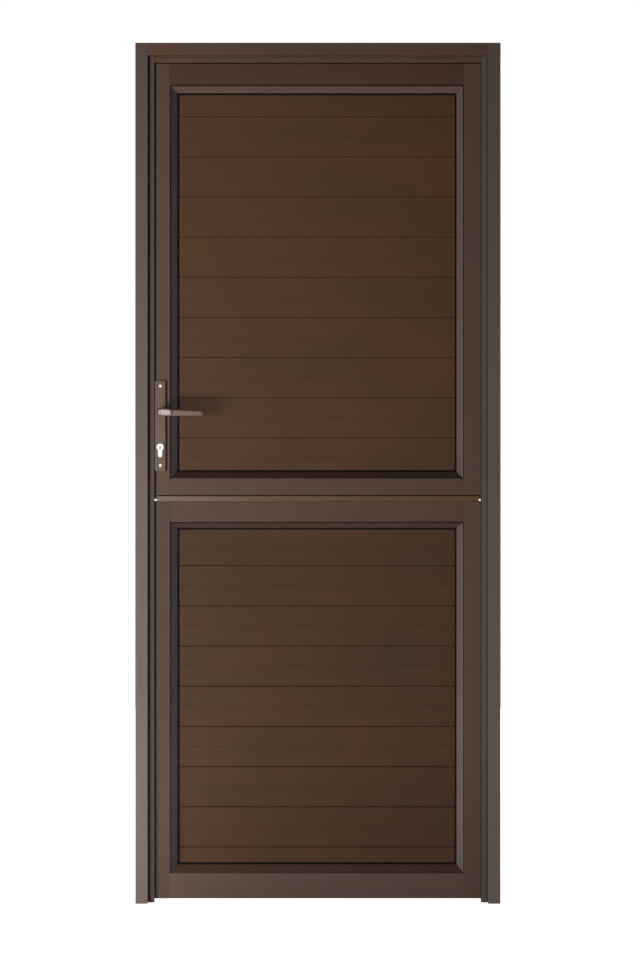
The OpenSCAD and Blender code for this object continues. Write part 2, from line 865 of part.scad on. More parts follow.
module lower_hinge_stile() {
  hinge_stile(lower_z, lower_opening, lower_hinges_z);
}

module lower_meeting_rail() {
  difference() {
    high_rail(lower_z[1], meeting_rail_h);
    at_rivets() cylinder(r = rivet_r + screw_clear, h = 3 * leaf_wall, center = true);
  }
}

module lower_bottom_rail() {
  low_rail(lower_z[0], outer_rail_h);
}

module lower_rail_cleats() {
  color(ALUMINIUM) rail_cleats(lower_z, outer_rail_h, meeting_rail_h);
}

module lower_slats() {
  slats(lower_last_z - lower_slat_count * slat_pitch, lower_slat_count,
        [lower_cut_z, lower_opening[1]]);
}

module lower_top_bead() { bead(lower_opening, 2); }
module lower_bottom_bead() { bead(lower_opening, 0); }
module lower_lock_bead() { bead(lower_opening, 1); }
module lower_hinge_bead() { bead(lower_opening, 3); }
module lower_gaskets() { gaskets(lower_opening); }

// The strip stands on the lower leaf and laps the joint in front of the upper leaf.
module meeting_strip() {
  color(BRONZE_STRIP) difference() {
    along_x(strip_l) union() {
      translate([strip_front, lower_z[1]]) square([strip_foot, strip_t]);
      translate([strip_front, lower_z[1] - strip_drop]) square([strip_t, strip_h]);
    }
    at_rivets() translate([0, 0, -past])
      cylinder(r = rivet_r + screw_clear, h = strip_t + 2 * past);
  }
}

module meeting_seal() {
  color(BLACK) along_x(strip_l)
    translate([strip_back + 0.05, lower_z[1] + meeting_gap + 1])
      square([leaf_front - set_clear - strip_back, strip_h - strip_drop - meeting_gap - 2]);
}

module meeting_strip_rivets() {
  color(STEEL) at_rivets() {
    translate([0, 0, -leaf_wall - 1]) cylinder(r = rivet_r, h = leaf_wall + strip_t + 1.2);
    translate([0, 0, strip_t]) cylinder(r = rivet_r + 1.4, h = 1.2);
  }
}

// Base plate with two guides: the rod slides along Z and leaves at z = 0.
module barrel() {
  difference() {
    union() {
      translate([-barrel_w / 2, 0, -barrel_l]) cube([barrel_w, barrel_t, barrel_l]);
      for (z = [-guide_l, -barrel_l]) translate([0, 0, z]) {
        translate([-guide_r, 0, 0]) cube([2 * guide_r, barrel_t + guide_r, guide_l]);
        translate([0, barrel_t + guide_r, 0]) cylinder(r = guide_r, h = guide_l);
      }
    }
    translate([0, barrel_t + guide_r, -barrel_l - past])
      cylinder(r = rod_r + fit, h = barrel_l + 2 * past);
    at_barrel_screws() countersunk_hole(barrel_t);
  }
}

// The rod, drawn back, with the knob that moves it.
module bolt_rod() {
  y = barrel_t + guide_r;
  knob_z = -barrel_l + guide_l + knob_r + set_clear;
  translate([0, y, rod_tip - rod_l]) cylinder(r = rod_r, h = rod_l);
  translate([0, y, knob_z]) rotate([-90, 0, 0]) cylinder(r = knob_r, h = 16);
  translate([0, y + 18, knob_z]) sphere(r = 6);
}

module meeting_bolt_barrel() {
  color(STEEL) at_meeting_bolt() barrel();
}

module lower_bolt_barrel() {
  color(STEEL) at_side_bolt() barrel();
}

module meeting_bolt_rod() {
  color(STEEL) at_meeting_bolt() bolt_rod();
}

module lower_bolt_rod() {
  color(STEEL) at_side_bolt() bolt_rod();
}

module lower_leaf_screws() {
  color(STEEL) {
    at_hinge_screws(lower_hinges_z, -1) countersunk();
    at_meeting_bolt() at_barrel_screws() countersunk();
    at_side_bolt() at_barrel_screws() countersunk();
  }
}

// ---------------------------------------------------------------- upper leaf

// The key cylinder's profile around its own axis: x across, y up.
module euro_profile(grow = 0) {
  circle(r = euro_r + grow);
  stem_r = euro_stem_w / 2;
  translate([-stem_r - grow, euro_r - euro_h + stem_r])
    square([2 * (stem_r + grow), euro_h - euro_r - stem_r]);
  translate([0, euro_r - euro_h + stem_r]) circle(r = stem_r + grow);
}

module euro_bar(half, grow = 0) {
  translate([lever_x, 0, cylinder_z]) rotate([90, 0, 0])
    linear_extrude(height = 2 * half, center = true) euro_profile(grow);
}

module at_plate_screws() {
  for (k = [-0.5, 0.5])
    translate([lever_x, 0, plate_z + k * plate_screw_centres]) children();
}

module upper_lock_stile() {
  color(BRONZE) difference() {
    lock_stile(upper_z, upper_opening);
    // Slot for the lock case in the groove's floor
    translate([lock_x + leaf_groove_d - past, -case_t / 2 - set_clear, case_z - set_clear])
      cube([leaf_wall + 2 * past, case_t + 2 * set_clear, case_h + 2 * set_clear]);
    translate([lever_x, 0, lever_z]) rod_y(neck_r, -leaf_t, leaf_t);
    euro_bar(leaf_t, 0.5);
    at_plate_screws() rod_y(plate_screw_r + screw_clear, -leaf_t, leaf_t);
    at_face_screws(lock_x + leaf_groove_d, 90)
      cylinder(r = screw_r + screw_clear, h = 3 * leaf_wall, center = true);
    at_meeting_keep_screws()
      cylinder(r = screw_r + screw_clear, h = 2 * (barrel_t + leaf_wall) + past,
               center = true);
  }
}

module upper_hinge_stile() {
  hinge_stile(upper_z, upper_opening, upper_hinges_z);
}

module upper_top_rail() {
  high_rail(upper_z[1], outer_rail_h);
}

module upper_meeting_rail() {
  low_rail(upper_z[0], meeting_rail_h);
}

module upper_rail_cleats() {
  color(ALUMINIUM) rail_cleats(upper_z, meeting_rail_h, outer_rail_h);
}

module upper_slats() {
  slats(upper_first_z, upper_slat_count, [upper_first_z, upper_cut_z]);
}

module upper_top_bead() { bead(upper_opening, 2); }
module upper_bottom_bead() { bead(upper_opening, 0); }
module upper_lock_bead() { bead(upper_opening, 1); }
module upper_hinge_bead() { bead(upper_opening, 3); }
module upper_gaskets() { gaskets(upper_opening); }

module upper_leaf_screws() {
  color(STEEL) {
    at_hinge_screws(upper_hinges_z, -1) countersunk();
    at_face_screws(lock_x, -90) countersunk(screw_l);
    at_meeting_keep_screws() countersunk();
  }
}

// ---------------------------------------------------------------- lock

module lock_case() {
  inner = case_t - 2 * case_wall;
  color(STEEL) difference() {
    translate([case_x, -case_t / 2, case_z]) cube([case_d, case_t, case_h]);
    translate([case_x + case_wall, -inner / 2, case_z + case_wall])
      cube([case_d - 2 * case_wall, inner, case_h - 2 * case_wall]);
    // Ways out for the bolts, the follower and the key cylinder
    for (b = [[latch_z, latch_size], [dead_z, dead_size]])
      translate([case_x - past, -b[1][1] / 2 - set_clear, b[0] - b[1][2] / 2 - set_clear])
        cube([case_wall + 2 * past, b[1][1] + 2 * set_clear, b[1][2] + 2 * set_clear]);
    translate([lever_x, 0, lever_z]) rod_y(follower_r - 2 + set_clear, -case_t, case_t);
    euro_bar(case_t, set_clear);
    at_plate_screws() rod_y(plate_screw_r + screw_clear, -case_t, case_t);
  }
}

module lock_faceplate() {
  color(STEEL) difference() {
    translate([lock_x, -faceplate_w / 2, plate_z - faceplate_h / 2])
      cube([faceplate_t, faceplate_w, faceplate_h]);
    for (b = [[latch_z, latch_size], [dead_z, dead_size]])
      translate([lock_x - past, -b[1][1] / 2 - set_clear, b[0] - b[1][2] / 2 - set_clear])
        cube([faceplate_t + 2 * past, b[1][1] + 2 * set_clear, b[1][2] + 2 * set_clear]);
    at_face_screws(lock_x, -90) countersunk_hole(faceplate_t);
  }
}

// A long plate on the outside; the inside one is its mirror image.
module long_plate() {
  corner = 2.5;
  rim = 1.5;
  difference() {
    translate([lever_x, leaf_front, plate_z]) rotate([90, 0, 0]) {
      linear_extrude(height = plate_t - rim) rounded_plate(plate_w, plate_h, corner);
      linear_extrude(height = plate_t)
        rounded_plate(plate_w - 2 * rim, plate_h - 2 * rim, corner);
    }
    translate([lever_x, 0, lever_z]) rod_y(neck_bearing_r, -leaf_t, leaf_t);
    euro_bar(leaf_t, set_clear);
    at_plate_screws() {
      rod_y(plate_screw_r + screw_clear, -leaf_t, leaf_t);
      rod_y(plate_screw_head_r + screw_clear, -leaf_t, -plate_face + 3);
    }
  }
}

module rounded_plate(w, h, r) {
  square([w - 2 * r, h], center = true);
  square([w, h - 2 * r], center = true);
  for (x = [-1, 1], y = [-1, 1]) translate([x * (w / 2 - r), y * (h / 2 - r)]) circle(r = r);
}

module front_plate() {
  color(BRONZE_LIGHT) long_plate();
}

module back_plate() {
  color(BRONZE_LIGHT) mirror([0, 1, 0]) long_plate();
}

// Through screws with a sleeve nut on the inside plate.
module plate_screws() {
  seat = plate_face - 3;
  head_h = 2.6;
  color(STEEL) at_plate_screws() difference() {
    union() {
      rod_y(plate_screw_r, -seat - 0.5, seat + 0.5);
      for (y = [-seat - head_h, seat]) rod_y(plate_screw_head_r, y, y + head_h);
    }
    for (y = [-seat - head_h - past, seat + head_h - 1.4])
      rod_y(1.9, y, y + 1.4 + past, 6);
  }
}

module cylinder_body() {
  color(STEEL) difference() {
    euro_bar(cylinder_half);
    translate([lever_x, 0, cylinder_z]) {
      rod_y(plug_r + fit, -cylinder_half - past, cylinder_half + past);
      // The middle is cut away above the stem's web for the cam
      translate([-cam_reach - past, -cam_w / 2 - set_clear, -cam_reach - set_clear])
        cube([2 * (cam_reach + past), cam_w + 2 * set_clear, 2 * cam_reach + 2 * set_clear]);
    }
  }
}

module key_plugs() {
  key_w = 2.4;
  key_h = 8.4;
  color(STEEL) translate([lever_x, 0, cylinder_z]) for (flip = [0, 1])
    mirror([0, flip, 0]) difference() {
      rod_y(plug_r, -cylinder_half - 0.4, -cam_w / 2 - 0.1);
      translate([-key_w / 2, -cylinder_half - past, -key_h / 2 - 0.8])
        cube([key_w, 24, key_h]);
    }
}

module cylinder_cam() {
  tilt = 30;
  color(STEEL) translate([lever_x, 0, cylinder_z]) rotate([0, tilt, 0]) {
    rod_y(plug_r, -cam_w / 2, cam_w / 2);
    translate([-3, -cam_w / 2, -cam_reach + 1]) cube([6, cam_w, cam_reach - 1]);
  }
}

// ---------------------------------------------------------------- moving lock parts

// The outside lever: a round neck, an elbow and a grip that tapers to a round tip.
module lever() {
  grip_y = -plate_face - lever_stand_off;
  tip_r = grip_tip_h / 2;
  root_r = grip_h / 2;
  neck_start = -plate_face + 3;
  translate([lever_x, 0, lever_z]) difference() {
    union() {
      rod_y(neck_r, grip_y + grip_t / 2, neck_start);
      translate([0, grip_y + grip_t, 0]) rotate([90, 0, 0])
        linear_extrude(height = grip_t) union() {
          circle(r = neck_r);
          translate([lever_reach - tip_r, 0]) circle(r = tip_r);
          polygon([
            [0, -root_r],
            [lever_reach - tip_r, -tip_r],
            [lever_reach - tip_r, tip_r],
            [0, root_r]
          ]);
        }
    }
    cube([spindle_side + 0.2, 2 * spindle_end + 1, spindle_side + 0.2], center = true);
  }
}

module front_lever() {
  color(BRONZE_LIGHT) lever();
}

module back_lever() {
  color(BRONZE_LIGHT) mirror([0, 1, 0]) lever();
}

module spindle() {
  color(STEEL) translate([lever_x, 0, lever_z])
    cube([spindle_side, 2 * spindle_end, spindle_side], center = true);
}

module lock_follower() {
  inner = case_t - 2 * case_wall - 2 * set_clear;
  color(STEEL) translate([lever_x, 0, lever_z]) difference() {
    union() {
      rod_y(follower_r - 2, -case_t / 2, case_t / 2);
      rod_y(follower_r, -inner / 2, inner / 2);
    }
    cube([spindle_side + 0.1, 2 * case_t, spindle_side + 0.1], center = true);
  }
}

// The latch's slope faces the stop, so that closing the leaf pushes it back.
module latch_bolt() {
  tail = latch_size[0] - latch_nose - latch_travel - 4;
  color(STEEL) translate([lock_x, 0, latch_z - latch_size[2] / 2])
    linear_extrude(height = latch_size[2]) polygon([
      [-latch_nose, latch_size[1] / 2],
      [-latch_nose, latch_size[1] / 2 - 3],
      [0, -latch_size[1] / 2],
      [tail, -latch_size[1] / 2],
      [tail, latch_size[1] / 2]
    ]);
}

module dead_bolt() {
  color(STEEL) translate([lock_x + 0.3, -dead_size[1] / 2, dead_z - dead_size[2] / 2])
    cube(dead_size);
}

// ---------------------------------------------------------------- assembly

lock_jamb();
hinge_jamb();
head();
head_cleats();
frame_seals();
strike_plate();
lower_bolt_keep();
frame_hinge_plates();
hinge_pins();
hinge_washers();
frame_screws();
lower_lock_stile();
lower_hinge_stile();
lower_meeting_rail();
lower_bottom_rail();
lower_rail_cleats();
lower_slats();
lower_top_bead();
lower_bottom_bead();
lower_lock_bead();
lower_hinge_bead();
lower_gaskets();
meeting_strip();
meeting_seal();
meeting_strip_rivets();
lower_hinge_plates();
meeting_bolt_barrel();
lower_bolt_barrel();
lower_leaf_screws();
meeting_bolt_rod();
lower_bolt_rod();
upper_lock_stile();
upper_hinge_stile();
upper_top_rail();
upper_meeting_rail();
upper_rail_cleats();
upper_slats();
upper_top_bead();
upper_bottom_bead();
upper_lock_bead();
upper_hinge_bead();
upper_gaskets();
upper_hinge_plates();
lock_case();
lock_faceplate();
front_plate();
back_plate();
plate_screws();
cylinder_body();
meeting_bolt_keep();
upper_leaf_screws();
front_lever();
back_lever();
spindle();
lock_follower();
latch_bolt();
dead_bolt();
key_plugs();
cylinder_cam();
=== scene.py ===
"""Looks of the dutch stable door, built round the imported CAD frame.

Metres, in the same frame as the CAD: the outside looks along -y, and z is up."""

import math

import bmesh
import bpy
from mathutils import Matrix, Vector


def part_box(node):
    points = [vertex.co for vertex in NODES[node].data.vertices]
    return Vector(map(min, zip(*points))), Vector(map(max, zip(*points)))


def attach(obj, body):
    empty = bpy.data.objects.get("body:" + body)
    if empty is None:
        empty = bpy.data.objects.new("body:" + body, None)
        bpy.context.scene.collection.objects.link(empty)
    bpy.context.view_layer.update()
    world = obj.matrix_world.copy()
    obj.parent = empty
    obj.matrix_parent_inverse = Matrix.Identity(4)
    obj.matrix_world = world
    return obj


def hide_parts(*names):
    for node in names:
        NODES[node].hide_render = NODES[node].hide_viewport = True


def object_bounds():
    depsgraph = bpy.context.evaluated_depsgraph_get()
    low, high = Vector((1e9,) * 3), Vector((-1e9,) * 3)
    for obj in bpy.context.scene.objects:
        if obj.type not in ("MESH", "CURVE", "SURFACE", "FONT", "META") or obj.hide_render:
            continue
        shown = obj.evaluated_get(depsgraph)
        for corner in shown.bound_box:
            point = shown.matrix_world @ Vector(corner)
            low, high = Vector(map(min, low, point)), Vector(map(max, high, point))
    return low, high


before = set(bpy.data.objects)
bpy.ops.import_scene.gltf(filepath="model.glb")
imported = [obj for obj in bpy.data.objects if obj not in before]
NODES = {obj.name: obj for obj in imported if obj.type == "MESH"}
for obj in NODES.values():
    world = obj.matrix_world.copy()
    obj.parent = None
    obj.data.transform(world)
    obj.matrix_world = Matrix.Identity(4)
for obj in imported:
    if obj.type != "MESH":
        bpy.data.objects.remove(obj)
CAD_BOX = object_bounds()
scene = bpy.context.scene
scene.view_settings.view_transform = "Standard"


# ---------------------------------------------------------------- materials

def linear(red, green, blue):
    """Linear RGBA of an 8-bit sRGB colour."""
    def channel(c):
        c /= 255
        return c / 12.92 if c <= 0.04045 else ((c + 0.055) / 1.055) ** 2.4
    return (channel(red), channel(green), channel(blue), 1.0)


def reach_y(name):
    """Lowest and highest y of a CAD node."""
    depths = [corner[1] for corner in NODES[name].bound_box]
    return min(depths), max(depths)


# the middle of a noise, which is stretched over a finish's whole range
NOISE_LOW, NOISE_HIGH = 0.32, 0.68

# how a noise is stretched into lines along an axis
ALONG = {"x": (0.02, 1, 1), "z": (1, 1, 0.02)}

# roughness of the shadow line in the jambs' face, behind the plane y = SHADOW_LINE
DULL = 0.85
SHADOW_LINE = -0.040

# the beads' thin front edge, darkened as painted shade so that it reads with the dark groove
# beside it: its share of the coat's brightness, its roughness, where it ends
EDGE_PAINTED_SHADE = 0.05
EDGE_ROUGHNESS = 1.0
BEAD_EDGE_END = reach_y("upper_lock_bead")[0] + 0.0004

# painted shade inside the keyway: its colour, and how far from y = 0 it ends, just under the
# plugs' faces
KEYWAY_PAINTED_SHADE = (34, 26, 22)
KEYWAY_END = reach_y("key_plugs")[1] - 0.0006


class Finish:
    """A node material that is built up from procedural layers on a Principled shader."""

    def __init__(self, name, **sockets):
        self.material = bpy.data.materials.new(name)
        self.material.use_nodes = True
        self.nodes = self.material.node_tree.nodes
        self.links = self.material.node_tree.links
        self.shader = self.nodes["Principled BSDF"]
        for socket, value in sockets.items():
            self.shader.inputs[socket.replace("_", " ")].default_value = value
        self.coords = self.nodes.new("ShaderNodeTexCoord").outputs["Object"]

    def noise(self, scale, detail=2.0, rough=0.5, stretch=(1, 1, 1), seed=0.0):
        """A noise on the piece's own coordinates. A seed moves it, so that pieces differ."""
        mapping = self.nodes.new("ShaderNodeMapping")
        mapping.inputs["Scale"].default_value = stretch
        mapping.inputs["Location"].default_value = (seed, seed * 0.7, seed * 1.3)
        self.links.new(self.coords, mapping.inputs["Vector"])
        noise = self.nodes.new("ShaderNodeTexNoise")
        noise.inputs["Scale"].default_value = scale
        noise.inputs["Detail"].default_value = detail
        noise.inputs["Roughness"].default_value = rough
        self.links.new(mapping.outputs["Vector"], noise.inputs["Vector"])
        return noise.outputs["Fac"]

    def spread(self, value, low, high):
        """Stretches the middle of a noise to low..high."""
        node = self.nodes.new("ShaderNodeMapRange")
        node.inputs["From Min"].default_value = NOISE_LOW
        node.inputs["From Max"].default_value = NOISE_HIGH
        node.inputs["To Min"].default_value = low
        node.inputs["To Max"].default_value = high
        self.links.new(value, node.inputs["Value"])
        return node.outputs["Result"]

    def mix(self, factor, first, second):
        """A colour from first to second, which are each a colour or an output."""
        node = self.nodes.new("ShaderNodeMix")
        node.data_type = "RGBA"
        self.links.new(factor, node.inputs["Factor"])
        for socket, value in (("A", first), ("B", second)):
            target = next(i for i in node.inputs if i.name == socket and i.type == "RGBA")
            if isinstance(value, tuple):
                target.default_value = value
            else:
                self.links.new(value, target)
        return next(o for o in node.outputs if o.type == "RGBA")

    def math(self, operation, value, limit=0.0):
        """The operation on the output value and the number limit."""
        node = self.nodes.new("ShaderNodeMath")
        node.operation = operation
        node.inputs[1].default_value = limit
        self.links.new(value, node.inputs[0])
        return node.outputs["Value"]

    def depth(self):
        """The y of the point that is shaded."""
        split = self.nodes.new("ShaderNodeSeparateXYZ")
        self.links.new(self.coords, split.inputs["Vector"])
        return split.outputs["Y"]

    def behind(self, plane_y):
        """1 behind the plane y = plane_y, and 0 before it."""
        return self.math("GREATER_THAN", self.depth(), plane_y)

    def before(self, plane_y):
        """1 before the plane y = plane_y, and 0 behind it."""
        return self.math("LESS_THAN", self.depth(), plane_y)

    def within(self, distance):
        """1 nearer the plane y = 0 than distance, and 0 farther from it."""
        return self.math("LESS_THAN", self.math("ABSOLUTE", self.depth()), distance)

    def blend(self, factor, first, last):
        """A number that goes from the output `first` to the constant `last`."""
        node = self.nodes.new("ShaderNodeMix")
        self.links.new(factor, node.inputs["Factor"])
        self.links.new(first, node.inputs["A"])
        node.inputs["B"].default_value = last
        return node.outputs["Result"]

    def colour(self, value):
        self.links.new(value, self.shader.inputs["Base Color"])

    def roughness(self, value):
        self.links.new(value, self.shader.inputs["Roughness"])

    def bump(self, height, depth, after=None):
        """Raises the surface by up to depth metres, on top of the bump after."""
        node = self.nodes.new("ShaderNodeBump")
        node.inputs["Strength"].default_value = 1.0
        node.inputs["Distance"].default_value = depth
        self.links.new(height, node.inputs["Height"])
        if after is not None:
            self.links.new(after, node.inputs["Normal"])
        self.links.new(node.outputs["Normal"], self.shader.inputs["Normal"])
        return node.outputs["Normal"]


def powder_coat(name, base, warm, roughness, specular, along="x", seed=0.0, peel=1.0,
                dull_behind=None, painted_shade_before=None):
    """Bronze coat over an extrusion: cloudy tone between base and warm, fine die lines along
    it, varying gloss. Surfaces behind the plane y = dull_behind are duller, and an edge in
    front of the plane given last is darkened as painted shade."""
    cloud_scale, cloud_stretch = 3.0, (1.0, 1.0, 2.2)
    speck_scale, speck_share, speck_lift = 1400.0, 0.12, 1.25
    line_scale, peel_scale, relief = 300.0, 520.0, 0.000012
    gloss_range = 0.03
    finish = Finish(name, Specular_IOR_Level=specular)
    cloud = finish.noise(cloud_scale, detail=3.0, stretch=cloud_stretch, seed=seed)
    cloud = finish.spread(cloud, 0.0, 1.0)
    speck = finish.spread(finish.noise(speck_scale, detail=1.0), 0.0, speck_share)
    tone = finish.mix(cloud, linear(*base), linear(*warm))
    lighter = linear(*(min(255, c * speck_lift) for c in base))
    coat = finish.mix(speck, tone, lighter)
    lines = finish.noise(line_scale, stretch=ALONG[along], seed=seed)
    gloss = finish.spread(lines, roughness - gloss_range, roughness + gloss_range)
    if dull_behind is not None:
        gloss = finish.blend(finish.behind(dull_behind), gloss, DULL)
    if painted_shade_before is not None:
        # painted shade: the bead's thin front edge takes a dark share of the base colour
        edge = linear(*(c * EDGE_PAINTED_SHADE for c in base))
        coat = finish.mix(finish.behind(painted_shade_before), edge, coat)
        gloss = finish.blend(finish.before(painted_shade_before), gloss, EDGE_ROUGHNESS)
    finish.colour(coat)
    finish.roughness(gloss)
    drawn = finish.bump(lines, relief * peel)
    finish.bump(finish.noise(peel_scale), relief * peel, after=drawn)
    return finish.material


def metal(name, base, roughness, brushed=(1, 1, 1), metallic=1.0, painted_shade_within=None):
    """Brushed bare metal. A metallic below 1 stands for a plating with a milky sheen.
    Surfaces nearer y = 0 than the last argument get painted shade, dark as a keyway's depth."""
    finish = Finish(name, Metallic=metallic)
    tone_scale, tone_low = 40.0, 0.9
    brush_scale, scratch_scale, scratch = 260.0, 900.0, 0.00001
    gloss_range = 0.07
    dark = tuple(c * tone_low for c in base)
    tone = finish.spread(finish.noise(tone_scale, detail=3.0), 0.0, 1.0)
    sheen = finish.mix(tone, linear(*dark), linear(*base))
    if painted_shade_within is not None:
        # painted shade: the keyway's depth is coloured dark
        sheen = finish.mix(finish.within(painted_shade_within), sheen, linear(*KEYWAY_PAINTED_SHADE))
    finish.colour(sheen)
    brushing = finish.noise(brush_scale, detail=3.0, stretch=brushed)
    finish.roughness(finish.spread(brushing, roughness - gloss_range, roughness + gloss_range))
    finish.bump(finish.noise(scratch_scale, stretch=brushed), scratch)
    return finish.material


def rubber(name, base, roughness):
    """Dull rubber or nylon with a faint bloom and a fine grain."""
    finish = Finish(name, Specular_IOR_Level=0.1)
    bloom_scale, bloom_lift = 90.0, 1.5
    dull_scale, grain_scale, grain = 300.0, 1500.0, 0.00003
    gloss_range = 0.08
    bloom = finish.spread(finish.noise(bloom_scale, detail=4.0, rough=0.6), 0.0, 1.0)
    bloomed = linear(*(c * bloom_lift for c in base))
    finish.colour(finish.mix(bloom, linear(*base), bloomed))
    dull = finish.noise(dull_scale)
    finish.roughness(finish.spread(dull, roughness - gloss_range, roughness + gloss_range))
    finish.bump(finish.noise(grain_scale), grain)
    return finish.material


# name, base colour, warm colour, roughness, specular level and the axis of the die lines
# All these bronze coats stand for the one coat of the real door. Their base colours differ from
# member to member to match how light falls on each, as painted light and shade.
FINISHES = {
    "jamb": powder_coat("jamb_coat", (70, 54, 40), (74, 55, 39), 0.57, 0.7, "z", seed=1.0,
                        dull_behind=SHADOW_LINE),
    # painted sheen: a greyer, lighter copy of the jamb coat for the hinge jamb
    "jamb_sheen_right": powder_coat("jamb_sheen_right_coat", (76, 62, 52), (80, 63, 52), 0.57, 0.7, "z",
                              seed=1.5, dull_behind=SHADOW_LINE),
    "head": powder_coat("head_coat", (81, 60, 45), (86, 62, 45), 0.56, 0.3, "x", seed=2.0),
    "stile": powder_coat("stile_coat", (79, 61, 50), (83, 63, 50), 0.60, 0.25, "z", seed=3.0),
    # painted shade: a darker copy of the stile coat for the lower lock stile
    "stile_shade_low": powder_coat("stile_shade_low_coat", (72, 55, 45), (76, 57, 45), 0.60, 0.25, "z",
                             seed=3.5),
    "rail": powder_coat("rail_coat", (80, 59, 46), (85, 61, 47), 0.54, 0.2, "x", seed=4.0),
    # painted shade: a darker copy of the rail coat for the bottom rail
    "low_rail": powder_coat("low_rail_coat", (72, 53, 41), (77, 55, 42), 0.50, 0.35, "x",
                            seed=4.2),
    # painted shade: a darker copy of the rail coat for the top rail
    "top_rail": powder_coat("rail_shade_top_coat", (74, 53, 41), (78, 54, 41), 0.54, 0.15, "x",
                            seed=4.5),
    "bead": powder_coat("bead_coat", (77, 55, 43), (81, 57, 43), 0.45, 0.7, "x", seed=5.0,
                        painted_shade_before=BEAD_EDGE_END),
    # painted shade: a darker copy of the bead coat for the beads at the meeting rails
    "bead_shade_mid": powder_coat("bead_shade_mid_coat", (63, 45, 34), (67, 47, 34), 0.45, 0.5, "x",
                            seed=5.2, painted_shade_before=BEAD_EDGE_END),
    # painted sheen: a greyer, lighter copy of the bead coat for the lock-side beads
    "bead_sheen_left": powder_coat("bead_sheen_left_coat", (98, 88, 86), (102, 90, 86), 0.50, 0.9, "z",
                             seed=5.5, painted_shade_before=BEAD_EDGE_END),
    # painted light: a lighter copy of the bead coat for the hinge-side beads
    "bead_lit_right": powder_coat("bead_lit_right_coat", (88, 73, 65), (92, 75, 65), 0.50, 0.9, "z",
                              seed=5.7),
    "slat": powder_coat("slat_coat", (75, 53, 36), (82, 55, 37), 0.56, 0.12, "x", seed=6.0),
    # painted shade: a darker copy of the slat coat for the lower leaf's slats
    "slat_shade_low": powder_coat("slat_shade_low_coat", (69, 49, 33), (76, 51, 34), 0.56, 0.12, "x",
                            seed=6.5),
    "strip": powder_coat("strip_coat", (93, 67, 42), (90, 65, 42), 0.34, 0.6, "x", seed=7.0),
    "handle": powder_coat("handle_coat", (90, 63, 48), (95, 66, 49), 0.38, 0.62, "z",
                          seed=8.0, peel=0.5),
    "plate": powder_coat("plate_coat", (86, 62, 48), (91, 65, 49), 0.38, 0.45, "z",
                         seed=8.5, peel=0.5),
    "nickel": metal("satin_nickel", (240, 236, 230), 0.42, brushed=(1, 1, 6), metallic=0.35),
    "plug": metal("satin_nickel_plug", (240, 236, 230), 0.42, metallic=0.35,
                  painted_shade_within=KEYWAY_END),
    "steel": metal("zinc_steel", (176, 176, 174), 0.36, brushed=(1, 1, 4)),
    "mill": metal("mill_aluminium", (188, 189, 191), 0.45, brushed=(1, 1, 12)),
    "rubber": rubber("black_rubber", (7, 7, 7), 0.75),
    "nylon": rubber("black_nylon", (20, 19, 18), 0.5),
}

# which CAD nodes wear a finish
WEARS = {
    "jamb": ["lock_jamb"],
    "jamb_sheen_right": ["hinge_jamb"],
    "head": ["head"],
    "stile": ["lower_hinge_stile", "upper_lock_stile", "upper_hinge_stile"],
    "stile_shade_low": ["lower_lock_stile"],
    "rail": ["lower_meeting_rail", "upper_meeting_rail"],
    "low_rail": ["lower_bottom_rail"],
    "top_rail": ["upper_top_rail"],
    "bead": ["upper_top_bead", "lower_bottom_bead"],
    "bead_shade_mid": ["upper_bottom_bead", "lower_top_bead"],
    "bead_sheen_left": ["lower_lock_bead", "upper_lock_bead"],
    "bead_lit_right": ["lower_hinge_bead", "upper_hinge_bead"],
    "slat": ["upper_slats"],
    "slat_shade_low": ["lower_slats"],
    "strip": ["meeting_strip"],
    "handle": ["front_lever", "back_lever"],
    "plate": ["front_plate", "back_plate", "frame_hinge_plates", "lower_hinge_plates",
              "upper_hinge_plates"],
    "nickel": ["plate_screws", "cylinder_body", "cylinder_cam"],
    "plug": ["key_plugs"],
    "steel": ["strike_plate", "lower_bolt_keep", "hinge_pins", "frame_screws",
              "meeting_strip_rivets", "meeting_bolt_barrel", "lower_bolt_barrel",
              "lower_leaf_screws", "meeting_bolt_rod", "lower_bolt_rod", "lock_case",
              "lock_faceplate", "meeting_bolt_keep", "upper_leaf_screws", "spindle",
              "lock_follower", "latch_bolt", "dead_bolt"],
    "mill": ["head_cleats", "lower_rail_cleats", "upper_rail_cleats"],
    "rubber": ["frame_seals", "lower_gaskets", "upper_gaskets", "meeting_seal"],
    "nylon": ["hinge_washers"],
}
FINISH_OF = {node: finish for finish, nodes in WEARS.items() for node in nodes}


def wear(obj, finish):
    obj.data.materials.clear()
    obj.data.materials.append(FINISHES[finish])


def linked(name, mesh):
    """A new object in the scene, made of a bmesh, which is freed."""
    data = bpy.data.meshes.new(name)
    mesh.to_mesh(data)
    mesh.free()
    obj = bpy.data.objects.new(name, data)
    scene.collection.objects.link(obj)
    return obj


# ---------------------------------------------------------------- softened CAD edges

# width of the rounded edges of each finish's nodes, in metres
BEVEL = {
    "jamb": 0.0005, "jamb_sheen_right": 0.0005, "head": 0.0005,
    "stile": 0.0005, "stile_shade_low": 0.0005,
    "rail": 0.0005, "low_rail": 0.0005, "top_rail": 0.0005,
    "bead": 0.00015, "bead_shade_mid": 0.00015, "bead_sheen_left": 0.00015, "bead_lit_right": 0.0003,
    "slat": 0.0003, "slat_shade_low": 0.0003, "strip": 0.0003,
    "handle": 0.0006, "plate": 0.0006, "nickel": 0.0003, "plug": 0.0002, "steel": 0.0003,
    "mill": 0.0003, "rubber": 0.0003, "nylon": 0.0002,
}
WELD_DISTANCE = 0.000002
SHARP_ANGLE = math.radians(28)


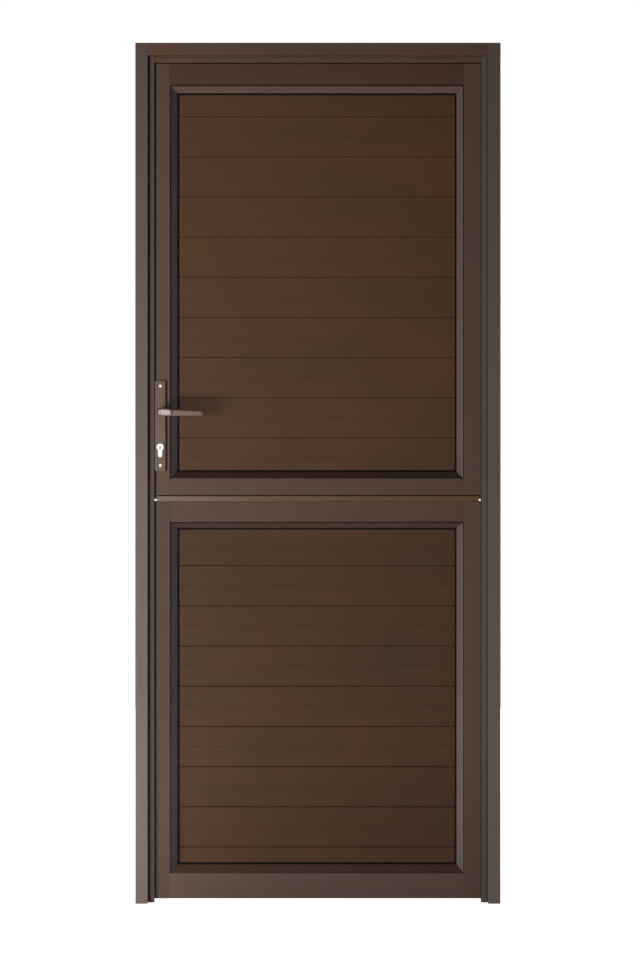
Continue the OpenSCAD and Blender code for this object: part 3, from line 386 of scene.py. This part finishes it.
def soften(obj, width):
    """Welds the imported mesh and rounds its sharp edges, without changing the mesh itself."""
    weld = obj.modifiers.new("weld", "WELD")
    weld.merge_threshold = WELD_DISTANCE
    bevel = obj.modifiers.new("rounded_edges", "BEVEL")
    bevel.width = width
    bevel.segments = 2
    bevel.limit_method = "ANGLE"
    bevel.angle_limit = SHARP_ANGLE
    bevel.harden_normals = False
    normals = obj.modifiers.new("even_shading", "WEIGHTED_NORMAL")
    normals.keep_sharp = True


for name, node in NODES.items():
    wear(node, FINISH_OF[name])
    soften(node, BEVEL[FINISH_OF[name]])


# ---------------------------------------------------------------- levers

# All in millimetres and degrees, with the lever's axis at x = z = 0 and its grip along +x.
MM = 0.001
NECK_R = 9.0
NECK_WAIST = 0.8  # how much the neck narrows behind the elbow
BEND = 5.7  # radius of the elbow's path
TIP = 9.0  # length of the rounded tip

# the boss: half its depth, the exponent and roll of its superellipse, its edges over the axis
HALF_DEPTH = 5.6
ROUND, SQUARE = 2.0, 4.4
ROLL = 8
UPPER_EDGE, LOWER_EDGE = 8.2, -10.8
BOSS_LEAN = 4.8  # how far it leans forward to its end

# where the boss ends, and where its upper edge, its section and its face turn into the grip's
BOSS_END = 30.0
EDGE_TURN = (BOSS_END - 12, BOSS_END + 6)
SECTION_TURN = (BOSS_END - 5, BOSS_END + 3)
FACE_TURN = (BOSS_END, BOSS_END + 4)

# the grip: how much lower, thinner, less square and less rolled it is than the boss, how far
# its face is set back, and how it tapers and leans back per millimetre
GRIP_DROP, GRIP_THINNER, GRIP_ROUNDER, GRIP_UNROLL = 2.4, 0.8, 0.6, 0.15
GRIP_SETBACK = 1.0
GRIP_TAPER, GRIP_LEAN = 0.04, 0.02
TIP_THINNER = 0.4  # how much thinner it is at the tip

# points round a section, rings along each part, and the share of a ring that the last one is
SIDES = 32
NECK_STEPS, BEND_STEPS, GRIP_STEPS, TIP_STEPS = 8, 8, 48, 6
TIP_END = 0.03


def smoothstep(a, b, x):
    """From 0 at a to 1 at b, level at both ends."""
    t = min(1.0, max(0.0, (x - a) / (b - a)))
    return t * t * (3 - 2 * t)


def face_back(x):
    """How far the lever's face lies behind its foremost line, x mm from the axis: the boss
    leans forward to its end, and the grip is set back from it."""
    if x < BOSS_END:
        return BOSS_LEAN * (1 - x / BOSS_END)
    return GRIP_SETBACK * smoothstep(*FACE_TURN, x) + GRIP_LEAN * (x - BOSS_END)


def edges(x):
    """Heights of the lever's upper and lower edge over its axis, x mm from it: the lower edge
    is straight, and the upper edge falls to the tip."""
    fall = GRIP_DROP * smoothstep(*EDGE_TURN, x)
    return UPPER_EDGE - fall - GRIP_TAPER * max(0.0, x - BOSS_END), LOWER_EDGE


def section(half_d, half_h, power, roll):
    """Points (across the lever's path, up) of its section, a rolled superellipse."""
    cr, sr = math.cos(roll), math.sin(roll)
    points = []
    for i in range(SIDES):
        a = 2 * math.pi * i / SIDES
        c, s = math.cos(a), math.sin(a)
        across = half_d * math.copysign(abs(c) ** (2 / power), c)
        up = half_h * math.copysign(abs(s) ** (2 / power), s)
        points.append((across * cr + up * sr, up * cr - across * sr))
    return points


def thickness(half_d, half_h, power, roll):
    """How far that section reaches to the front of its centre."""
    return max(across for across, _ in section(half_d, half_h, power, roll))


def lever_rings(reach, stand, root_y):
    """Rings of a lever that stands out along -y. Each is (centre x, centre y, centre z, angle
    of the path, half height, half depth, squareness, roll of the section)."""
    top, bottom = edges(BEND)
    boss_h, boss_z = (top - bottom) / 2, (top + bottom) / 2
    roll = math.radians(ROLL)
    waist_r = NECK_R - NECK_WAIST
    rings = []
    front_y = thickness(HALF_DEPTH, boss_h, SQUARE, roll) + face_back(BEND) - stand
    start = front_y + BEND
    for i in range(NECK_STEPS + 1):
        t = i / NECK_STEPS
        y = root_y + (start - root_y) * t
        r = NECK_R - NECK_WAIST * smoothstep(0.0, 0.5, t)
        rings.append((0.0, y, 0.0, 0.0, r, r, ROUND, 0.0))
    for i in range(1, BEND_STEPS + 1):
        t = i / BEND_STEPS
        a = t * math.pi / 2
        rings.append((BEND - BEND * math.cos(a), start - BEND * math.sin(a), boss_z * t, a,
                      waist_r + (boss_h - waist_r) * t, waist_r + (HALF_DEPTH - waist_r) * t,
                      ROUND + (SQUARE - ROUND) * t, roll * t))
    straight = reach - TIP - BEND
    for i in range(1, GRIP_STEPS + 1):
        x = BEND + straight * i / GRIP_STEPS
        slim = smoothstep(*SECTION_TURN, x)
        along = smoothstep(BOSS_END, reach, x)
        top, bottom = edges(x)
        h = (top - bottom) / 2
        d = HALF_DEPTH - GRIP_THINNER * slim - TIP_THINNER * along
        n = SQUARE - GRIP_ROUNDER * slim
        r = roll * (1 - GRIP_UNROLL * slim)
        rings.append((x, thickness(d, h, n, r) + face_back(x) - stand, (top + bottom) / 2,
                      math.pi / 2, h, d, n, r))
    x0, y0, z0, _, h, d, n, r = rings[-1]
    for i in range(1, TIP_STEPS + 1):
        a = i / TIP_STEPS * math.pi / 2
        shrink = max(TIP_END, math.cos(a))
        rings.append((x0 + TIP * math.sin(a), y0, z0, math.pi / 2, h * shrink, d * shrink,
                      n, r))
    return rings


def build_lever(name, replaced, body, side):
    """A cast lever lofted through its rings. side is -1 for the outside and 1 for the inside."""
    low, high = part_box(replaced)
    axis_x = low.x + NECK_R * MM
    axis_z = (low.z + high.z) / 2
    outer = max(abs(low.y), abs(high.y)) / MM
    inner = min(abs(low.y), abs(high.y)) / MM
    reach = (high.x - axis_x) / MM
    mesh = bmesh.new()
    loops = []
    for cx, cy, cz, angle, h, d, power, roll in lever_rings(reach, outer, -inner):
        loop = []
        for across, up in section(d, h, power, roll):
            x = cx - across * math.cos(angle)
            y = cy - across * math.sin(angle)
            loop.append(mesh.verts.new((axis_x + x * MM, -side * y * MM,
                                        axis_z + (cz + up) * MM)))
        loops.append(loop)
    for a, b in zip(loops, loops[1:]):
        for i in range(SIDES):
            j = (i + 1) % SIDES
            mesh.faces.new((a[i], a[j], b[j], b[i]))
    mesh.faces.new(loops[0])
    mesh.faces.new(loops[-1])
    bmesh.ops.recalc_face_normals(mesh, faces=mesh.faces)
    obj = linked(name, mesh)
    for polygon in obj.data.polygons:
        polygon.use_smooth = len(polygon.vertices) == 4
    smooth = obj.modifiers.new("smooth", "SUBSURF")
    smooth.levels = smooth.render_levels = 1
    wear(obj, "handle")
    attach(obj, body)
    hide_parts(replaced)


build_lever("lever_outside", "front_lever", "lever_set", -1)
build_lever("lever_inside", "back_lever", "lever_set", 1)


# ---------------------------------------------------------------- lips of the strip's seal, which also give painted shade along the strip

# how far the seal shows over the strip's upper edge and under its lower edge; the black lips
# stand for the seal and for the lines of shade there, as painted shade
LIP_OVER = 0.0020
LIP_UNDER = 0.0010
LIP_ROUNDING = 0.0003


def rubber_lip(name, low, high, body):
    """A rubber lip that fills the box low..high, with rounded edges. Black, it also stands for a
    line of shade, as painted shade.
    """
    mesh = bmesh.new()
    bmesh.ops.create_cube(mesh, size=1.0)
    obj = linked(name, mesh)
    for vertex in obj.data.vertices:
        vertex.co = [a if c < 0 else b for c, a, b in zip(vertex.co, low, high)]
    bevel = obj.modifiers.new("rounded_edges", "BEVEL")
    bevel.width = LIP_ROUNDING
    bevel.segments = 2
    wear(obj, "rubber")
    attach(obj, body)


seal_low, seal_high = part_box("meeting_seal")
strip_low, strip_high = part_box("meeting_strip")
rubber_lip("seal_lip_and_shade_over_strip", (seal_low.x, seal_low.y, seal_high.z),
           (seal_high.x, seal_high.y, strip_high.z + LIP_OVER), "lower_leaf")
rubber_lip("seal_lip_and_shade_under_strip", (seal_low.x, seal_low.y, strip_low.z - LIP_UNDER),
           (seal_high.x, seal_high.y, strip_low.z + LIP_UNDER), "lower_leaf")


# ---------------------------------------------------------------- studio

WHITE = (1, 1, 1, 1)
MIDDLE = (CAD_BOX[0] + CAD_BOX[1]) / 2


def studio_floor(radius, centre_y, drop, glow):
    """A pale round floor that glows, so that it is as white as the backdrop. It lies drop
    under the object."""
    mesh = bmesh.new()
    bmesh.ops.create_circle(mesh, cap_ends=True, segments=96, radius=radius)
    floor = linked("studio_floor", mesh)
    floor.location = (0, centre_y, CAD_BOX[0].z - drop)
    finish = Finish("studio_floor", Roughness=0.9, Specular_IOR_Level=0.1,
                    Emission_Color=WHITE, Emission_Strength=glow)
    shade = finish.spread(finish.noise(2.0), 0.0, 1.0)
    finish.colour(finish.mix(shade, (0.80, 0.80, 0.80, 1), (0.82, 0.82, 0.82, 1)))
    floor.data.materials.append(finish.material)
    floor.visible_diffuse = False


def white_world(front, behind, turn):
    """White to the camera. It lights the object with the strength front from the front half
    of the room and behind from the backdrop's half. Between them the light's y direction
    goes from the first to the second number of turn."""
    world = bpy.data.worlds.new("studio")
    scene.world = world
    world.use_nodes = True
    nodes, links = world.node_tree.nodes, world.node_tree.links
    nodes.clear()
    out = nodes.new("ShaderNodeOutputWorld")
    blend = nodes.new("ShaderNodeMixShader")
    room = nodes.new("ShaderNodeBackground")
    white = nodes.new("ShaderNodeBackground")
    white.inputs["Strength"].default_value = 1.0
    for background in (room, white):
        background.inputs["Color"].default_value = WHITE
    split = nodes.new("ShaderNodeSeparateXYZ")
    links.new(nodes.new("ShaderNodeTexCoord").outputs["Generated"], split.inputs["Vector"])
    ramp = nodes.new("ShaderNodeMapRange")
    for socket, value in (("From Min", turn[0]), ("From Max", turn[1]), ("To Min", front),
                          ("To Max", behind)):
        ramp.inputs[socket].default_value = value
    links.new(split.outputs["Y"], ramp.inputs["Value"])
    links.new(ramp.outputs["Result"], room.inputs["Strength"])
    path = nodes.new("ShaderNodeLightPath")
    links.new(path.outputs["Is Camera Ray"], blend.inputs["Fac"])
    links.new(room.outputs["Background"], blend.inputs[1])
    links.new(white.outputs["Background"], blend.inputs[2])
    links.new(blend.outputs["Shader"], out.inputs["Surface"])


def softbox(name, place, target, width, height, watts, spread=180):
    """A rectangular area light, spread in degrees, which the camera doesn't see."""
    light = bpy.data.lights.new(name, "AREA")
    light.shape = "RECTANGLE"
    light.size = width
    light.size_y = height
    light.energy = watts
    light.spread = math.radians(spread)
    obj = bpy.data.objects.new(name, light)
    obj.location = place
    aim = Vector(target) - Vector(place)
    obj.rotation_euler = aim.to_track_quat("-Z", "Y").to_euler()
    obj.visible_camera = False
    scene.collection.objects.link(obj)


studio_floor(radius=2.6, centre_y=0.9, drop=0.0005, glow=0.95)
white_world(front=0.06, behind=0.9, turn=(-0.15, 0.2))
softbox("key", (-1.85, -3.04, 0.45), (-0.8, 0.0, 1.7), width=1.3, height=1.6, watts=72,
        spread=130)
softbox("low_fill", (-0.75, -0.35, 0.06), (-0.35, 0.0, 0.1), width=0.12, height=0.12, watts=1.7)
softbox("back_key", (1.8, 3.4, 2.6), MIDDLE, width=1.6, height=1.6, watts=100)

# the photo is taken from 4 m, level with the middle of the door
CAMERA_PLACE = (0.005, -4.043, 1.035)
FOCAL_LENGTH = 61.7
camera_data = bpy.data.cameras.new("camera")
camera_data.sensor_width = 36
camera_data.lens = FOCAL_LENGTH
camera = bpy.data.objects.new("camera", camera_data)
camera.location = CAMERA_PLACE
camera.rotation_euler = (math.radians(90), 0, 0)
scene.collection.objects.link(camera)
scene.camera = camera
